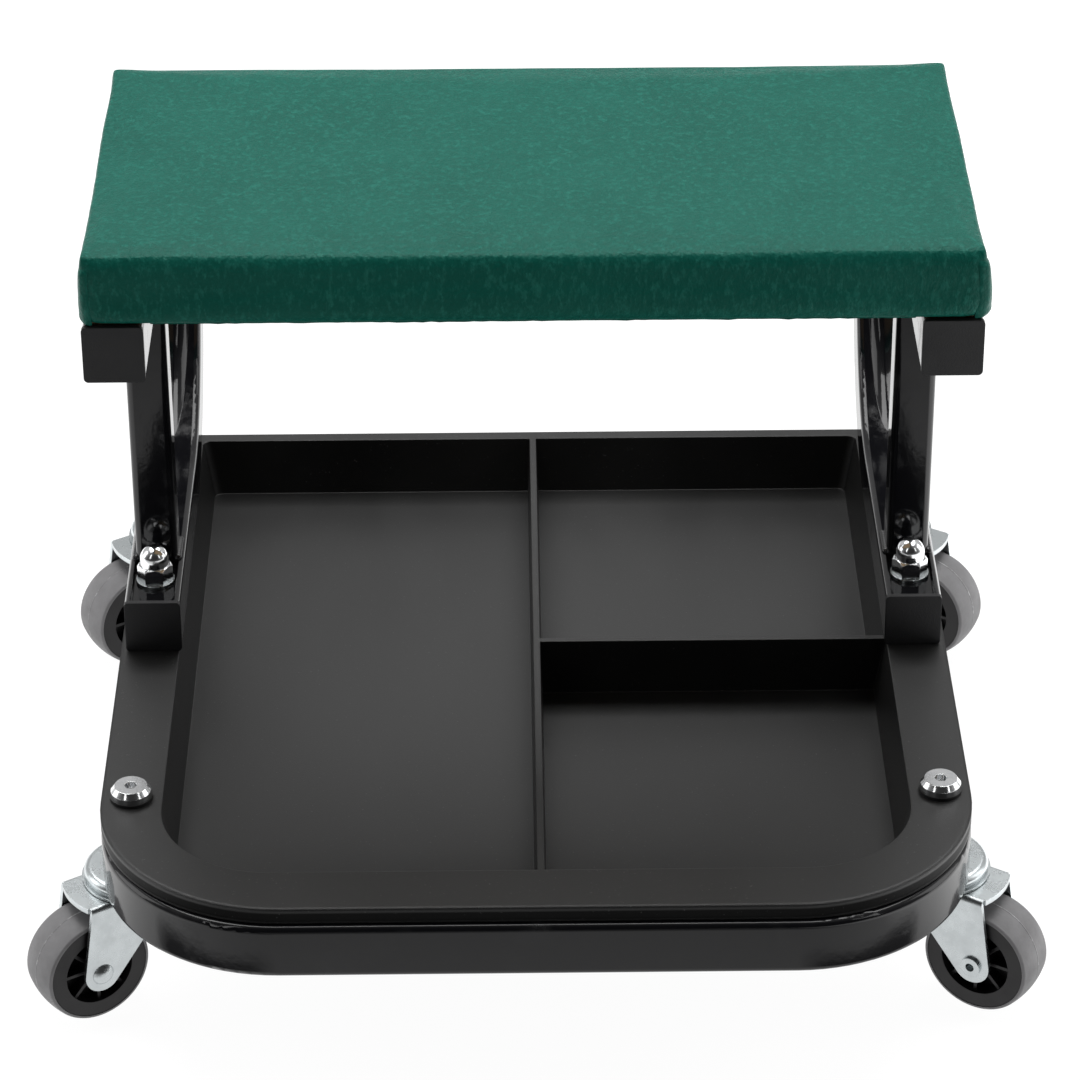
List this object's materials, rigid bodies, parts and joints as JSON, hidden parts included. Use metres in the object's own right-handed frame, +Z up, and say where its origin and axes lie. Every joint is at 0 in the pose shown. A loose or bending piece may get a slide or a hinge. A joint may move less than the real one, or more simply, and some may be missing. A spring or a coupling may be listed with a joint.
{
  "type": "rolling creeper seat",
  "caption": "Padded rolling workshop seat on bent square-tube side frames with a compartmented tool tray and swivel casters.",
  "frame": {"origin": "on the floor under the centre of the overall outline", "axes": "+Z up, +X to the right of someone facing the front of the tray, +Y towards the back"},
  "size_m": [0.4446, 0.4366, 0.3519],
  "materials": {
    "vinyl": "satin grained vinyl",
    "plywood": "raw",
    "zinc": "bright zinc plate",
    "steel": "polished",
    "chrome": "polished",
    "frame_paint": "gloss black powder coat",
    "plug_plastic": "matt",
    "tray_plastic": "satin",
    "black_washer": "matt black",
    "wheel_core": "satin",
    "tread": "matt"
  },
  "bodies": {
    "creeper": {"seat_cushion": "vinyl", "seat_board": "plywood", "seat_screws": "zinc", "side_frame_left": "frame_paint", "side_frame_right": "frame_paint", "strut_left": "frame_paint", "strut_right": "frame_paint", "arm_plugs": "plug_plastic", "foot_plugs": "plug_plastic", "base_tube": "frame_paint", "base_plugs": "plug_plastic", "frame_bolts": "zinc", "frame_bolt_washers": "zinc", "nut_washers": "zinc", "acorn_nuts": "chrome", "tray": "tray_plastic", "front_caster_bolts": "chrome", "rear_caster_bolts": "chrome", "caster_bolt_washers": "black_washer", "cup_front_left": "zinc", "cup_front_right": "zinc", "cup_rear_left": "zinc", "cup_rear_right": "zinc", "kingpin_front_left": "zinc", "kingpin_front_right": "zinc", "kingpin_rear_left": "zinc", "kingpin_rear_right": "zinc"},
    "swivel_front_left": {"fork_front_left": "zinc", "balls_front_left": "steel", "axle_front_left": "zinc"},
    "wheel_front_left": {"hub_front_left": "wheel_core", "tyre_front_left": "tread"},
    "swivel_front_right": {"fork_front_right": "zinc", "balls_front_right": "steel", "axle_front_right": "zinc"},
    "wheel_front_right": {"hub_front_right": "wheel_core", "tyre_front_right": "tread"},
    "swivel_rear_left": {"fork_rear_left": "zinc", "balls_rear_left": "steel", "axle_rear_left": "zinc"},
    "wheel_rear_left": {"hub_rear_left": "wheel_core", "tyre_rear_left": "tread"},
    "swivel_rear_right": {"fork_rear_right": "zinc", "balls_rear_right": "steel", "axle_rear_right": "zinc"},
    "wheel_rear_right": {"hub_rear_right": "wheel_core", "tyre_rear_right": "tread"}
  },
  "joints": [
    {"name": "swivel_front_left", "type": "hinge", "parent": "creeper", "child": "swivel_front_left", "pos_m": [-0.1743, -0.13135, 0.06], "axis": [0, 0, 1], "continuous": true},
    {"name": "roll_front_left", "type": "hinge", "parent": "swivel_front_left", "child": "wheel_front_left", "pos_m": [-0.19624, -0.1453, 0.0255], "axis": [0.5366, -0.8439, 0], "continuous": true},
    {"name": "swivel_front_right", "type": "hinge", "parent": "creeper", "child": "swivel_front_right", "pos_m": [0.1743, -0.13135, 0.06], "axis": [0, 0, 1], "continuous": true},
    {"name": "roll_front_right", "type": "hinge", "parent": "swivel_front_right", "child": "wheel_front_right", "pos_m": [0.19624, -0.1453, 0.0255], "axis": [0.5366, 0.8439, 0], "continuous": true},
    {"name": "swivel_rear_left", "type": "hinge", "parent": "creeper", "child": "swivel_rear_left", "pos_m": [-0.1743, 0.15865, 0.06], "axis": [0, 0, 1], "continuous": true},
    {"name": "roll_rear_left", "type": "hinge", "parent": "swivel_rear_left", "child": "wheel_rear_left", "pos_m": [-0.19624, 0.1447, 0.0255], "axis": [0.5366, -0.8439, 0], "continuous": true},
    {"name": "swivel_rear_right", "type": "hinge", "parent": "creeper", "child": "swivel_rear_right", "pos_m": [0.1743, 0.15865, 0.06], "axis": [0, 0, 1], "continuous": true},
    {"name": "roll_rear_right", "type": "hinge", "parent": "swivel_rear_right", "child": "wheel_rear_right", "pos_m": [0.19624, 0.1447, 0.0255], "axis": [0.5366, 0.8439, 0], "continuous": true}
  ]
}
